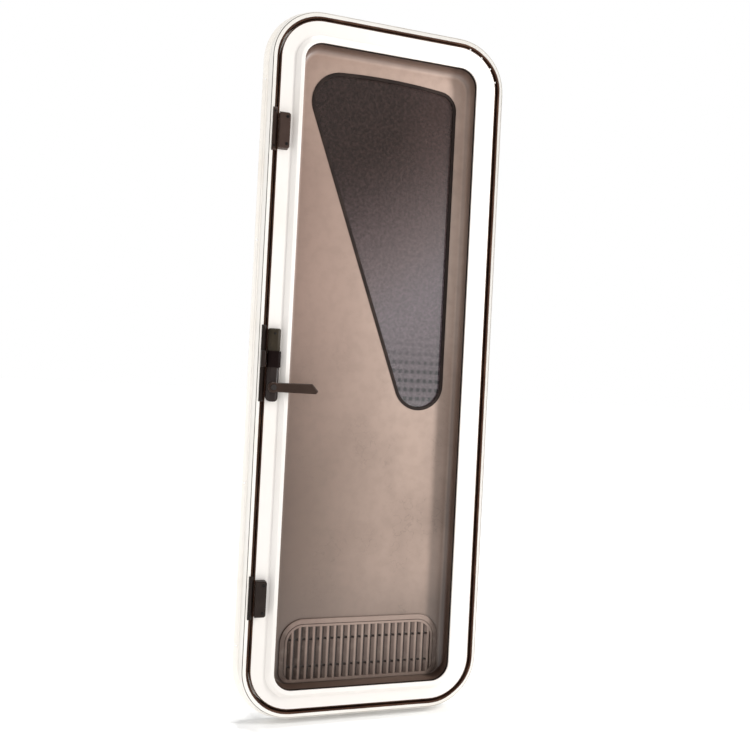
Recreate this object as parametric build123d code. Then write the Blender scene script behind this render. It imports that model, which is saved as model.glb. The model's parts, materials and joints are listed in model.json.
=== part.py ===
from build123d import *
import math
import os

# A caravan entry door, seen from the living side: a fixed jamb for a wall opening, and one leaf that
# swings outward on lift-off hinges and is held by a three-point lock.
# X runs across the door with the lock at -X, +Y points outdoors and +Z is up.
# The origin is on the flange's seat face, in the middle of the flange's bottom run.
# All sizes are in millimetres. Heights are measured from the middle of the door.

# Jamb and wall flange
JAMB_WIDTH = 622.0
JAMB_HEIGHT = 1750.0
JAMB_RADIUS = 129.0
JAMB_FACE = 15.0
JAMB_DEPTH = 40.0
JAMB_EDGE_BREAK = 0.5
SHOULDER_WIDTH = 5.0
SHOULDER_DEPTH = 9.0
GROOVE_INSET = 5.2
GROOVE_WIDTH = 1.6
GROOVE_DEPTH = 2.0
FLANGE_LIP = 12.0
FLANGE_THICKNESS = 3.0
SCREW_HOLE_RADIUS = 2.1
SIDE_SCREW_END_GAP = 175.0
SIDE_SCREW_SHARE = 3 / 7
END_SCREW_EDGE_GAP = 161.0

# Seam between jamb and leaf, lined with rubber on both sides
SEAM_WIDTH = 11.5
JAMB_SEAL_THICKNESS = 1.5
LEAF_SEAL_THICKNESS = 2.5
SEAL_FRONT_SETBACK = 0.5
SEAL_BACK_SETBACK = 6.0
SEAL_NOTCH_WIDTH = 5.0
SEAL_NOTCH_DEPTH = 12.0
SEAL_NOTCH_ANGLES = (15.0, 35.0, 55.0, 75.0)

# Leaf frame: flat border, bevel and raised lip round the panel opening
BORDER_FLAT = 35.5
BORDER_BEVEL = 11.0
BORDER_LIP = 9.5
LIP_RISE = 10.0
LIP_THICKNESS = 4.0
LIP_ROUND = 2.0
SILL_DROP = 8.5

# Panel tray, its gasket, the core and the outdoor skin
PANEL_RECESS = 48.0
PANEL_THICKNESS = 3.0
TRAY_WALL = 2.5
TRAY_SETBACK = 1.0
TRAY_COVE = 15.0
TRAY_COVE_RUNOUT = 20.0
TRAY_FOOT_ROUND = 2.5
GASKET_HEIGHT = 9.0
FIT_GAP = 0.3
SKIN_STANDOFF = 5.0
SKIN_THICKNESS = 3.0
SKIN_OVERLAP = 14.5
SKIN_EDGE_BREAK = 1.5

# Wedge window
WINDOW_RIGHT_MARGIN = 37.5
WINDOW_LEFT_MARGIN = 1.7
WINDOW_HEAD_MARGIN = 44.5
WINDOW_CROWN = 15.0
WINDOW_SLANT = 20.05
WINDOW_LEFT_RADIUS = 80.0
WINDOW_RIGHT_RADIUS = 48.0
WINDOW_TIP_RADIUS = 67.0
EDGING_FLANGE = 5.0
EDGING_WEB = 3.5
EDGING_HEIGHT = 2.0
EDGING_GROOVE = 2.0
EDGING_BREAK = 1.0
MESH_THICKNESS = 0.6
MESH_SETBACK = 0.5
PANE_THICKNESS = 4.0
PANE_GAP = 1.0

# Louvred vent
VENT_SIDE_MARGIN = 18.5
VENT_HEIGHT = 159.5
VENT_TOP_RADIUS = 60.0
VENT_FOOT_RADIUS = 30.0
VENT_FLOOR_GAP = 0.5
VENT_RIM = 19.5
VENT_FOOT_RIM = 8.0
VENT_RIM_HEIGHT = 4.5
VENT_RIM_ROUND = 2.0
VENT_GROOVE_INSET = 12.0
VENT_GROOVE_WIDTH = 2.0
VENT_GROOVE_DEPTH = 2.5
VENT_SEAT = 5.0
BLADE_PITCH = 18.2
BLADE_SETBACK = 0.5
BLADE_WIDTH = 13.0
BLADE_NOSE_WIDTH = 5.0
BLADE_NOSE_DROP = 1.0
BLADE_TAIL = 2.5
BLADE_EDGE = 0.8
BLADE_SEAT = 1.0
BLADE_NOTCH_WIDTH = 7.0
BLADE_NOTCH_HEIGHT = 6.0
BLADE_NOTCH_SPREAD = 34.0
GAUZE_THICKNESS = 1.0
RAIN_BLADE_PITCH = 20.0
RAIN_BLADE_CHORD = 14.0
RAIN_BLADE_THICKNESS = 3.0
RAIN_BLADE_TILT = 35.0

# Three-point lock on the leaf and its keepers on the jamb
UPPER_LATCH_HEIGHT = 562.0
UPPER_KEEPER_HEIGHT = 567.0
LOWER_LATCH_HEIGHT = -572.0
LOWER_KEEPER_HEIGHT = -572.0
LATCH_WIDTH = 26.5
LATCH_LENGTH = 87.0
LATCH_DEPTH = 18.0
CASE_ROUND = 2.5
CASE_CORNER = 6.0
KEEPER_WIDTH = 11.0
KEEPER_CLEARANCE = 2.0
KEEPER_LENGTH = 105.0
KEEPER_DEPTH = 6.0
KEEPER_CHAMFER = 3.0
LOCK_WIDTH = 30.0
LOCK_DEPTH = 18.0
LOCK_CASE_TOP = 82.0
COLLAR_TOP = 27.0
COLLAR_BOTTOM = -12.0
COLLAR_EXTRA = 2.5
BARREL_ROUND = 9.0
BARREL_END_ROUND = 12.0
BARREL_BOTTOM = -95.0
STRIKE_DEPTH = 18.0
LOCK_KEEPER_RISE = 8.0
LOCK_KEEPER_DROP = 1.0

# Inside lever
LEVER_HEIGHT = -60.0
LEVER_LENGTH = 111.0
LEVER_ROOT = 22.5
LEVER_TIP = 24.5
LEVER_TIP_SLANT = 16.0
LEVER_TIP_TUCK = 6.0
LEVER_POINT_DROP = 6.0
LEVER_TIP_ROUND = 5.0
LEVER_THICKNESS = 12.0
LEVER_STANDOFF = 6.0
LEVER_ROUND = 4.5
HUB_RADIUS = 13.0
SPINDLE_RADIUS = 4.0
SPINDLE_LENGTH = 10.0
RUNNING_CLEARANCE = 0.06
CAP_RADIUS = 7.0
CAP_HEIGHT = 1.5

# Lift-off hinges outdoors
HINGE_HEIGHTS = {"upper": 600.0, "middle": 0.0, "lower": -600.0}
HINGE_AXIS_INSET = 4.0
KNUCKLE_RADIUS = 6.0
KNUCKLE_LENGTH = 26.0
PIN_RADIUS = 3.0
HINGE_FOOT_THICKNESS = 4.0
HINGE_FOOT_REACH = 2.0
HINGE_PLATE_WIDTH = 36.0
HINGE_PLATE_THICKNESS = 3.0
HINGE_PLATE_SETBACK = 2.0

# Outdoor handle and key cylinder
HANDLE_PLATE_WIDTH = 46.0
HANDLE_PLATE_LENGTH = 190.0
HANDLE_PLATE_THICKNESS = 4.0
HANDLE_PLATE_RADIUS = 20.0
HANDLE_INSET = 30.0
HANDLE_CENTRE_HEIGHT = -20.0
GRIP_LENGTH = 120.0
GRIP_WIDTH = 18.0
GRIP_THICKNESS = 11.0
GRIP_CLEARANCE = 30.0
GRIP_RAISE = 25.0
GRIP_ROUND = 4.0
CYLINDER_RADIUS = 11.0
CYLINDER_HEIGHT = 5.0
CYLINDER_END_GAP = 27.0

# Levels across the door's depth
FACE_Y = -JAMB_DEPTH
LIP_Y = FACE_Y - LIP_RISE
LIP_BACK_Y = LIP_Y + LIP_THICKNESS
PANEL_Y = LIP_Y + PANEL_RECESS
CORE_Y = PANEL_Y + PANEL_THICKNESS
SKIN_Y = FLANGE_THICKNESS + SKIN_STANDOFF
OUTSIDE_Y = SKIN_Y + SKIN_THICKNESS
MESH_Y = PANEL_Y + MESH_SETBACK
PANE_Y = MESH_Y + MESH_THICKNESS + PANE_GAP
PANE_BACK_Y = PANE_Y + PANE_THICKNESS

# Insets of the ring outlines from the jamb's outer edge
SEAM_INSET = JAMB_FACE
LEAF_INSET = SEAM_INSET + SEAM_WIDTH
BEVEL_INSET = LEAF_INSET + BORDER_FLAT
LIP_INSET = BEVEL_INSET + BORDER_BEVEL
OPENING_INSET = LIP_INSET + BORDER_LIP
TRAY_INSET = OPENING_INSET - TRAY_SETBACK
TRAY_OUTER_INSET = TRAY_INSET - TRAY_WALL
POCKET_INSET = TRAY_OUTER_INSET - FIT_GAP

# Places that several pieces share
DOOR_CENTRE = JAMB_HEIGHT / 2 + FLANGE_LIP / 2
LEAF_HALF_WIDTH = JAMB_WIDTH / 2 - LEAF_INSET
LOCK_EDGE_X = -LEAF_HALF_WIDTH
LOCK_X = LOCK_EDGE_X + LOCK_WIDTH / 2
LOCK_FRONT_Y = FACE_Y - LOCK_DEPTH
KEEPER_RIGHT_X = LOCK_EDGE_X - LEAF_SEAL_THICKNESS - KEEPER_CLEARANCE
FLANGE_HALF_WIDTH = JAMB_WIDTH / 2 + FLANGE_LIP
HINGE_X = JAMB_WIDTH / 2 - HINGE_AXIS_INSET
HINGE_Y = OUTSIDE_Y + KNUCKLE_RADIUS
HANDLE_X = LOCK_EDGE_X + HANDLE_INSET
TRAY_HALF_WIDTH = JAMB_WIDTH / 2 - TRAY_INSET
TRAY_HALF_HEIGHT = JAMB_HEIGHT / 2 - TRAY_INSET
WINDOW_RIGHT = TRAY_HALF_WIDTH - WINDOW_RIGHT_MARGIN
WINDOW_LEFT = WINDOW_LEFT_MARGIN - TRAY_HALF_WIDTH
WINDOW_CORNER_HEIGHT = TRAY_HALF_HEIGHT - WINDOW_HEAD_MARGIN - WINDOW_CROWN
TRAY_FLOOR = -TRAY_HALF_HEIGHT - SILL_DROP
VENT_WIDTH = 2 * (TRAY_HALF_WIDTH - VENT_SIDE_MARGIN)
VENT_FOOT = TRAY_FLOOR + TRAY_FOOT_ROUND + VENT_FLOOR_GAP
THROAT_WIDTH = VENT_WIDTH - 2 * VENT_RIM
THROAT_HEIGHT = VENT_HEIGHT - VENT_RIM - VENT_FOOT_RIM
THROAT_MIDDLE = VENT_FOOT + VENT_FOOT_RIM + THROAT_HEIGHT / 2


def face_plane(y):
    """Plane parallel to the door at depth y, with its origin level with the door's middle."""
    return Plane(origin=(0, y, DOOR_CENTRE), x_dir=(1, 0, 0), z_dir=(0, -1, 0))


def slab(sketch, y_near, y_far):
    """A sketch on the door's face, made solid from depth y_near to depth y_far."""
    return extrude(face_plane(y_far) * sketch, y_far - y_near)


def outline(inset):
    """Rounded rectangle parallel to the jamb's outer edge."""
    return RectangleRounded(JAMB_WIDTH - 2 * inset, JAMB_HEIGHT - 2 * inset, JAMB_RADIUS - inset)


def panel_outline(inset, drop=SILL_DROP):
    """The same rounded rectangle, but reaching further down, because the leaf's bottom border is narrower."""
    width = JAMB_WIDTH - 2 * inset
    height = JAMB_HEIGHT - 2 * inset + drop
    return Pos(0, -drop / 2) * RectangleRounded(width, height, JAMB_RADIUS - inset)


def sloped(near_shape, y_near, far_shape, y_far):
    """A solid that slopes from one outline at depth y_near to another at depth y_far."""
    return loft([face_plane(y_near) * near_shape, face_plane(y_far) * far_shape], ruled=True)


def block(x_near, x_far, y_near, y_far, low, high):
    """A box given by its limits, with low and high measured from the door's middle."""
    middle = ((x_near + x_far) / 2, (y_near + y_far) / 2, DOOR_CENTRE + (low + high) / 2)
    return Pos(*middle) * Box(x_far - x_near, y_far - y_near, high - low)


def edges_at(solid, y):
    """Edges that lie wholly at depth y."""
    return solid.edges().filter_by_position(Axis.Y, y - 0.01, y + 0.01)


def rod_across(x, height, radius, y_near, y_far):
    """A cylinder along Y."""
    return slab(Pos(x, height) * Circle(radius), y_near, y_far)


def save(solid, node):
    export_step(solid, os.path.join("parts", node + ".step"))


# Fixed jamb


def flange_screw_spots():
    """Four screws down each side of the flange, and two along each end."""
    side_x = JAMB_WIDTH / 2 + FLANGE_LIP / 2
    end_height = JAMB_HEIGHT / 2 + FLANGE_LIP / 2
    outer_height = JAMB_HEIGHT / 2 - SIDE_SCREW_END_GAP
    end_x = JAMB_WIDTH / 2 - END_SCREW_EDGE_GAP
    corners = [(side_x, outer_height), (side_x, outer_height * SIDE_SCREW_SHARE), (end_x, end_height)]
    return [(side * x, end * height) for x, height in corners for side in (-1, 1) for end in (-1, 1)]


def make_jamb():
    """L-section ring: a face band with a groove, a sloped shoulder, side walls and the wall flange."""
    shoulder_y = FACE_Y + SHOULDER_DEPTH
    ring = slab(outline(0), shoulder_y, 0)
    ring += sloped(outline(SHOULDER_WIDTH), FACE_Y, outline(0), shoulder_y)
    ring -= slab(outline(SEAM_INSET), FACE_Y, 0)
    broken_edge = outline(SEAM_INSET - JAMB_EDGE_BREAK)
    ring -= sloped(broken_edge, FACE_Y, outline(SEAM_INSET), FACE_Y + JAMB_EDGE_BREAK)
    groove = outline(GROOVE_INSET) - outline(GROOVE_INSET + GROOVE_WIDTH)
    ring -= slab(groove, FACE_Y, FACE_Y + GROOVE_DEPTH)
    ring += slab(outline(-FLANGE_LIP) - outline(SEAM_INSET), 0, FLANGE_THICKNESS)
    for x, height in flange_screw_spots():
        ring -= rod_across(x, height, SCREW_HOLE_RADIUS, 0, FLANGE_THICKNESS)
    return ring


def make_seal(outer_inset, inner_inset):
    ring = outline(outer_inset) - outline(inner_inset)
    return slab(ring, FACE_Y + SEAL_FRONT_SETBACK, -SEAL_BACK_SETBACK)


def make_leaf_seal():
    """Rubber round the leaf's edge, notched at the upper hinge-side corner where it was bent."""
    seal = make_seal(LEAF_INSET - LEAF_SEAL_THICKNESS, LEAF_INSET)
    corner = Pos(JAMB_WIDTH / 2 - JAMB_RADIUS, JAMB_HEIGHT / 2 - JAMB_RADIUS)
    edge_radius = JAMB_RADIUS - LEAF_INSET + LEAF_SEAL_THICKNESS
    front_y = FACE_Y + SEAL_FRONT_SETBACK
    for angle in SEAL_NOTCH_ANGLES:
        notch = Rectangle(2 * LEAF_SEAL_THICKNESS, SEAL_NOTCH_WIDTH)
        place = corner * Rot(0, 0, angle) * Pos(edge_radius, 0)
        seal -= slab(place * notch, front_y, front_y + SEAL_NOTCH_DEPTH)
    return seal


def make_keeper(low, high):
    left_x = KEEPER_RIGHT_X - KEEPER_WIDTH
    strip = block(left_x, KEEPER_RIGHT_X, FACE_Y - KEEPER_DEPTH, FACE_Y, low, high)
    return chamfer(edges_at(strip, FACE_Y - KEEPER_DEPTH), KEEPER_CHAMFER)


def make_lock_keeper():
    strike_y = FACE_Y - STRIKE_DEPTH
    left_x = KEEPER_RIGHT_X - KEEPER_WIDTH
    strike = block(left_x, KEEPER_RIGHT_X, strike_y, FACE_Y, COLLAR_BOTTOM, COLLAR_TOP)
    strike = fillet(edges_at(strike, strike_y), CASE_ROUND)
    strip = make_keeper(BARREL_BOTTOM - LOCK_KEEPER_DROP, LOCK_CASE_TOP + LOCK_KEEPER_RISE)
    return strip + strike


# Leaf shell


def make_leaf_frame():
    ring = slab(outline(LEAF_INSET) - panel_outline(POCKET_INSET), FACE_Y, SKIN_Y)
    hump = sloped(panel_outline(LIP_INSET), LIP_Y, panel_outline(BEVEL_INSET), FACE_Y)
    ring += hump - slab(panel_outline(OPENING_INSET), LIP_Y, FACE_Y)
    ring -= slab(panel_outline(POCKET_INSET), LIP_BACK_Y, FACE_Y)
    return fillet(edges_at(ring, LIP_Y), LIP_ROUND)


def make_gasket():
    ring = panel_outline(TRAY_OUTER_INSET) - panel_outline(OPENING_INSET)
    return slab(ring, LIP_BACK_Y, LIP_BACK_Y + GASKET_HEIGHT)


def window_outline(inset):
    """Wedge with a crowned top and an upright right side that meets the slanted side in a round tip."""
    span = WINDOW_RIGHT - WINDOW_LEFT
    tip = WINDOW_CORNER_HEIGHT - span / math.tan(math.radians(WINDOW_SLANT))
    top_left = (WINDOW_LEFT, WINDOW_CORNER_HEIGHT)
    top_middle = (WINDOW_LEFT + span / 2, WINDOW_CORNER_HEIGHT + WINDOW_CROWN)
    top_right = (WINDOW_RIGHT, WINDOW_CORNER_HEIGHT)
    bottom = (WINDOW_RIGHT, tip)
    sides = [ThreePointArc(top_left, top_middle, top_right), Line(top_right, bottom), Line(bottom, top_left)]
    wedge = make_face(sides)
    wedge = fillet(wedge.vertices().sort_by(Axis.Y)[0], WINDOW_TIP_RADIUS)
    wedge = fillet(wedge.vertices().sort_by(Axis.X)[0], WINDOW_LEFT_RADIUS)
    wedge = fillet(wedge.vertices().sort_by(lambda corner: corner.X + corner.Y)[-1], WINDOW_RIGHT_RADIUS)
    return offset(wedge, -inset) if inset else wedge


def arched(width, height, middle, top_radius, foot_radius):
    """A rectangle whose top corners are rounder than its foot corners."""
    shape = Pos(0, middle) * Rectangle(width, height)
    shape = fillet(shape.vertices().group_by(Axis.Y)[-1], top_radius)
    return fillet(shape.vertices().group_by(Axis.Y)[0], foot_radius)


def vent_outline(inset):
    width = VENT_WIDTH - 2 * inset
    height = VENT_HEIGHT - 2 * inset
    return arched(width, height, VENT_FOOT + VENT_HEIGHT / 2, VENT_TOP_RADIUS - inset, VENT_FOOT_RADIUS - inset)


def throat_outline(margin=0.0):
    """The vent's clear opening, which comes nearer to the foot than to the other sides."""
    width = THROAT_WIDTH + 2 * margin
    height = THROAT_HEIGHT + 2 * margin
    top_radius = VENT_TOP_RADIUS - VENT_RIM + margin
    return arched(width, height, THROAT_MIDDLE, top_radius, VENT_FOOT_RADIUS - VENT_RIM + margin)


def make_tray():
    """The taupe inner panel: a tray formed with a cove, which runs out at the foot below the vent."""
    wall_front = LIP_BACK_Y + GASKET_HEIGHT
    tray = slab(panel_outline(TRAY_OUTER_INSET), wall_front, CORE_Y)
    hollow = slab(panel_outline(TRAY_INSET), wall_front, PANEL_Y)
    hollow = fillet(edges_at(hollow, PANEL_Y), TRAY_FOOT_ROUND)
    coved = slab(panel_outline(TRAY_INSET, SILL_DROP + TRAY_COVE_RUNOUT), wall_front, PANEL_Y)
    hollow &= fillet(edges_at(coved, PANEL_Y), TRAY_COVE)
    tray -= hollow
    tray -= slab(window_outline(EDGING_FLANGE), PANEL_Y, CORE_Y)
    return tray - slab(vent_outline(VENT_SEAT), PANEL_Y, CORE_Y)


def make_core():
    core = slab(panel_outline(TRAY_OUTER_INSET), CORE_Y, SKIN_Y)
    core -= slab(window_outline(EDGING_FLANGE), CORE_Y, SKIN_Y)
    return core - slab(vent_outline(VENT_SEAT), CORE_Y, SKIN_Y)


def make_skin():
    skin = slab(outline(LEAF_INSET - SKIN_OVERLAP), SKIN_Y, OUTSIDE_Y)
    skin = chamfer(edges_at(skin, OUTSIDE_Y), SKIN_EDGE_BREAK)
    skin -= slab(window_outline(EDGING_FLANGE), SKIN_Y, OUTSIDE_Y)
    return skin - slab(vent_outline(VENT_SEAT), SKIN_Y, OUTSIDE_Y)


# Window


def make_edging():
    """Rubber edging: a flange on each face of the leaf, joined by a web with grooves for pane and mesh."""
    inner = window_outline(EDGING_FLANGE + EDGING_WEB)
    flange = window_outline(0) - inner
    web = window_outline(EDGING_FLANGE + FIT_GAP) - inner
    groove = window_outline(EDGING_FLANGE + EDGING_WEB - EDGING_GROOVE)
    inside = slab(flange, PANEL_Y - EDGING_HEIGHT, PANEL_Y)
    outside = slab(flange, OUTSIDE_Y, OUTSIDE_Y + EDGING_HEIGHT)
    inside = chamfer(edges_at(inside, PANEL_Y - EDGING_HEIGHT), EDGING_BREAK)
    outside = chamfer(edges_at(outside, OUTSIDE_Y + EDGING_HEIGHT), EDGING_BREAK)
    edging = inside + slab(web, PANEL_Y, OUTSIDE_Y) + outside
    edging -= slab(groove, PANE_Y, PANE_BACK_Y)
    return edging - slab(groove, MESH_Y, MESH_Y + MESH_THICKNESS)


def make_glazing(y_near, y_far):
    return slab(window_outline(EDGING_FLANGE + EDGING_WEB - EDGING_GROOVE + FIT_GAP), y_near, y_far)


# Vent


def make_vent_rim(seat_y, outward):
    """Round-edged rim with a groove, on a face of the leaf; outward is -1 indoors and 1 outdoors."""
    front_y = seat_y + outward * VENT_RIM_HEIGHT
    groove_y = front_y - outward * VENT_GROOVE_DEPTH
    rim = slab(vent_outline(0), min(seat_y, front_y), max(seat_y, front_y))
    rim = fillet(edges_at(rim, front_y), VENT_RIM_ROUND)
    groove = vent_outline(VENT_GROOVE_INSET) - vent_outline(VENT_GROOVE_INSET + VENT_GROOVE_WIDTH)
    rim -= slab(groove, min(groove_y, front_y), max(groove_y, front_y))
    return rim - slab(throat_outline(), min(seat_y, front_y), max(seat_y, front_y))


def blade_row(pitch, room):
    """Places of evenly spaced blades about a middle."""
    count = int(room / pitch)
    return [(index - (count - 1) / 2) * pitch for index in range(count)]


def make_blade(x):
    """Upright blade: a narrow front edge, a face that runs back to the lock side, and two notches in it."""
    left = x - BLADE_WIDTH / 2
    right = x + BLADE_WIDTH / 2
    front_y = PANEL_Y - VENT_RIM_HEIGHT + BLADE_SETBACK
    back_y = PANEL_Y + BLADE_TAIL
    crest = (right - BLADE_NOSE_WIDTH, front_y)
    nose = (right, front_y + BLADE_NOSE_DROP)
    edge = (left, back_y - BLADE_EDGE)
    section = make_face(Polyline((left, back_y), edge, crest, nose, (right, back_y), close=True))
    blade = extrude(Pos(0, 0, DOOR_CENTRE + VENT_FOOT) * section, VENT_HEIGHT)
    for side in (-1, 1):
        middle = THROAT_MIDDLE + side * BLADE_NOTCH_SPREAD
        blade -= block(left, left + BLADE_NOTCH_WIDTH, front_y, back_y,
                       middle - BLADE_NOTCH_HEIGHT / 2, middle + BLADE_NOTCH_HEIGHT / 2)
    return blade


def make_vent_grille():
    """Indoor grille: a rim, a throat through the panel, and upright blades held at both ends."""
    blades = Part()
    for x in blade_row(BLADE_PITCH, THROAT_WIDTH):
        blades += make_blade(x)
    room = slab(throat_outline(BLADE_SEAT), PANEL_Y - VENT_RIM_HEIGHT, PANEL_Y + BLADE_TAIL)
    throat = slab(vent_outline(VENT_SEAT + FIT_GAP) - throat_outline(), PANEL_Y, CORE_Y)
    return make_vent_rim(PANEL_Y, -1) + throat + (blades & room)


def make_vent_gauze():
    """Insect gauze behind the grille, seated on the grille's throat."""
    return slab(vent_outline(VENT_SEAT + FIT_GAP), CORE_Y, CORE_Y + GAUZE_THICKNESS)


def make_outer_vent():
    """Outdoor vent: the same rim with level blades tilted to shed rain."""
    blades = Part()
    for height in blade_row(RAIN_BLADE_PITCH, THROAT_HEIGHT):
        blade = Box(VENT_WIDTH, RAIN_BLADE_CHORD, RAIN_BLADE_THICKNESS)
        place = Pos(0, OUTSIDE_Y, DOOR_CENTRE + THROAT_MIDDLE + height)
        blades += place * Rot(-RAIN_BLADE_TILT, 0, 0) * blade
    room = slab(throat_outline(BLADE_SEAT), OUTSIDE_Y - RAIN_BLADE_CHORD, OUTSIDE_Y + RAIN_BLADE_CHORD)
    return make_vent_rim(OUTSIDE_Y, 1) + (blades & room)


# Three-point lock


def make_latch_case(middle):
    """Flat case at the leaf's edge, with its two free corners rounded."""
    shape = Pos(LOCK_EDGE_X + LATCH_WIDTH / 2, middle) * Rectangle(LATCH_WIDTH, LATCH_LENGTH)
    shape = fillet(shape.vertices().group_by(Axis.X)[-1], CASE_CORNER)
    front_y = FACE_Y - LATCH_DEPTH
    case = slab(shape, front_y, FACE_Y)
    return fillet(edges_at(case, front_y), CASE_ROUND)


def make_lock_bar(low, high, width, depth):
    """Upright bar with a round-shouldered front, seated on the leaf's border."""
    section = fillet(Rectangle(width, depth).vertices().group_by(Axis.Y)[0], BARREL_ROUND)
    place = Pos(LOCK_EDGE_X + width / 2, FACE_Y - depth / 2, DOOR_CENTRE + low)
    return extrude(place * section, high - low)


def make_lock_case():
    case = make_lock_bar(COLLAR_TOP, LOCK_CASE_TOP, LOCK_WIDTH, LOCK_DEPTH)
    return chamfer(case.faces().sort_by(Axis.Z)[-1].edges(), CASE_ROUND)


def make_barrel():
    """Lower lock body with a round end, bored for the lever's spindle."""
    bar = make_lock_bar(BARREL_BOTTOM, COLLAR_BOTTOM, LOCK_WIDTH, LOCK_DEPTH)
    middle = (BARREL_BOTTOM + COLLAR_BOTTOM) / 2
    shape = Pos(LOCK_X, middle) * Rectangle(LOCK_WIDTH, COLLAR_BOTTOM - BARREL_BOTTOM)
    shape = fillet(shape.vertices().group_by(Axis.Y)[0], BARREL_END_ROUND)
    bar &= slab(shape, LOCK_FRONT_Y, FACE_Y)
    bore = SPINDLE_RADIUS + RUNNING_CLEARANCE
    return bar - rod_across(LOCK_X, LEVER_HEIGHT, bore, LOCK_FRONT_Y, LOCK_FRONT_Y + SPINDLE_LENGTH)


def make_lever():
    """Lever with a round hub, an arm with a rounded point, and a spindle that turns in the barrel."""
    arm_back = LOCK_FRONT_Y - LEVER_STANDOFF
    arm_front = arm_back - LEVER_THICKNESS
    tip_x = LOCK_X + LEVER_LENGTH
    top = LEVER_HEIGHT + LEVER_ROOT / 2
    low = LEVER_HEIGHT - LEVER_ROOT / 2
    tip_top = LEVER_HEIGHT + LEVER_TIP / 2
    tip_low = LEVER_HEIGHT - LEVER_TIP / 2
    point = (tip_x, LEVER_HEIGHT - LEVER_POINT_DROP)
    tip = [(tip_x - LEVER_TIP_SLANT, tip_top), point, (tip_x - LEVER_TIP_TUCK, tip_low)]
    blank = make_face(Polyline((LOCK_X, top), *tip, (LOCK_X, low), close=True))
    blank = fillet(blank.vertices().sort_by(Axis.X)[2:], LEVER_TIP_ROUND)
    arm = slab(blank + Pos(LOCK_X, LEVER_HEIGHT) * Circle(HUB_RADIUS), arm_front, arm_back)
    arm = fillet(edges_at(arm, arm_front), LEVER_ROUND)
    arm += rod_across(LOCK_X, LEVER_HEIGHT, HUB_RADIUS, arm_back, LOCK_FRONT_Y - FIT_GAP)
    spindle_end = LOCK_FRONT_Y + SPINDLE_LENGTH - FIT_GAP
    return arm + rod_across(LOCK_X, LEVER_HEIGHT, SPINDLE_RADIUS, LOCK_FRONT_Y - FIT_GAP, spindle_end)


def make_lever_cap():
    hub_front = LOCK_FRONT_Y - LEVER_STANDOFF - LEVER_THICKNESS
    return rod_across(LOCK_X, LEVER_HEIGHT, CAP_RADIUS, hub_front - CAP_HEIGHT, hub_front)


# Hinges


def upright_rod(radius, low, high):
    """A cylinder along the hinge axis."""
    return Pos(HINGE_X, HINGE_Y, DOOR_CENTRE + (low + high) / 2) * Cylinder(radius, high - low)


def make_hinge_base(height):
    """Fixed half: a foot on the flange, a web up to the lower knuckle, and the pin that stands in it."""
    low = height - KNUCKLE_LENGTH
    foot_x = HINGE_X - HINGE_FOOT_REACH
    foot_y = FLANGE_THICKNESS + HINGE_FOOT_THICKNESS
    base = block(foot_x, FLANGE_HALF_WIDTH, FLANGE_THICKNESS, foot_y, low, height + KNUCKLE_LENGTH)
    base += block(foot_x, HINGE_X + KNUCKLE_RADIUS, foot_y, HINGE_Y, low, height)
    base += upright_rod(KNUCKLE_RADIUS, low, height)
    return base + upright_rod(PIN_RADIUS, height, height + KNUCKLE_LENGTH)


def make_hinge_flap(height):
    """Moving half: a plate on the skin and the upper knuckle, bored for the pin."""
    low = height + FIT_GAP
    high = height + KNUCKLE_LENGTH
    plate_y = OUTSIDE_Y + HINGE_PLATE_THICKNESS
    edge_x = LEAF_HALF_WIDTH + SKIN_OVERLAP - HINGE_PLATE_SETBACK
    flap = block(edge_x - HINGE_PLATE_WIDTH, edge_x, OUTSIDE_Y, plate_y, height - KNUCKLE_LENGTH, high)
    flap += block(edge_x, HINGE_X, OUTSIDE_Y, plate_y, low, high)
    flap += upright_rod(KNUCKLE_RADIUS, low, high)
    return flap - upright_rod(PIN_RADIUS + RUNNING_CLEARANCE, low, high)


# Outdoor handle


def make_handle_plate():
    shape = RectangleRounded(HANDLE_PLATE_WIDTH, HANDLE_PLATE_LENGTH, HANDLE_PLATE_RADIUS)
    return slab(Pos(HANDLE_X, HANDLE_CENTRE_HEIGHT) * shape, OUTSIDE_Y, OUTSIDE_Y + HANDLE_PLATE_THICKNESS)


def make_grip():
    """A bow handle: a bar that stands off the plate on two legs."""
    plate_y = OUTSIDE_Y + HANDLE_PLATE_THICKNESS
    bar_y = plate_y + GRIP_CLEARANCE
    left = HANDLE_X - GRIP_WIDTH / 2
    low = HANDLE_CENTRE_HEIGHT + GRIP_RAISE - GRIP_LENGTH / 2
    bow = block(left, left + GRIP_WIDTH, plate_y, bar_y + GRIP_THICKNESS, low, low + GRIP_LENGTH)
    bow = fillet(edges_at(bow, bar_y + GRIP_THICKNESS), GRIP_ROUND)
    return bow - block(left, left + GRIP_WIDTH, plate_y, bar_y, low + GRIP_THICKNESS,
                       low + GRIP_LENGTH - GRIP_THICKNESS)


def make_key_cylinder():
    plate_y = OUTSIDE_Y + HANDLE_PLATE_THICKNESS
    height = HANDLE_CENTRE_HEIGHT - HANDLE_PLATE_LENGTH / 2 + CYLINDER_END_GAP
    return rod_across(HANDLE_X, height, CYLINDER_RADIUS, plate_y, plate_y + CYLINDER_HEIGHT)


os.makedirs("parts", exist_ok=True)

save(make_jamb(), "jamb_frame")
save(make_seal(SEAM_INSET, SEAM_INSET + JAMB_SEAL_THICKNESS), "jamb_seal")
for name, middle in (("upper", UPPER_KEEPER_HEIGHT), ("lower", LOWER_KEEPER_HEIGHT)):
    save(make_keeper(middle - KEEPER_LENGTH / 2, middle + KEEPER_LENGTH / 2), name + "_keeper")
for name, middle in (("upper", UPPER_LATCH_HEIGHT), ("lower", LOWER_LATCH_HEIGHT)):
    save(make_latch_case(middle), name + "_latch_case")
save(make_lock_keeper(), "lock_keeper")
for name, height in HINGE_HEIGHTS.items():
    save(make_hinge_base(height), name + "_hinge_base")
    save(make_hinge_flap(height), name + "_hinge_flap")

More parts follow.
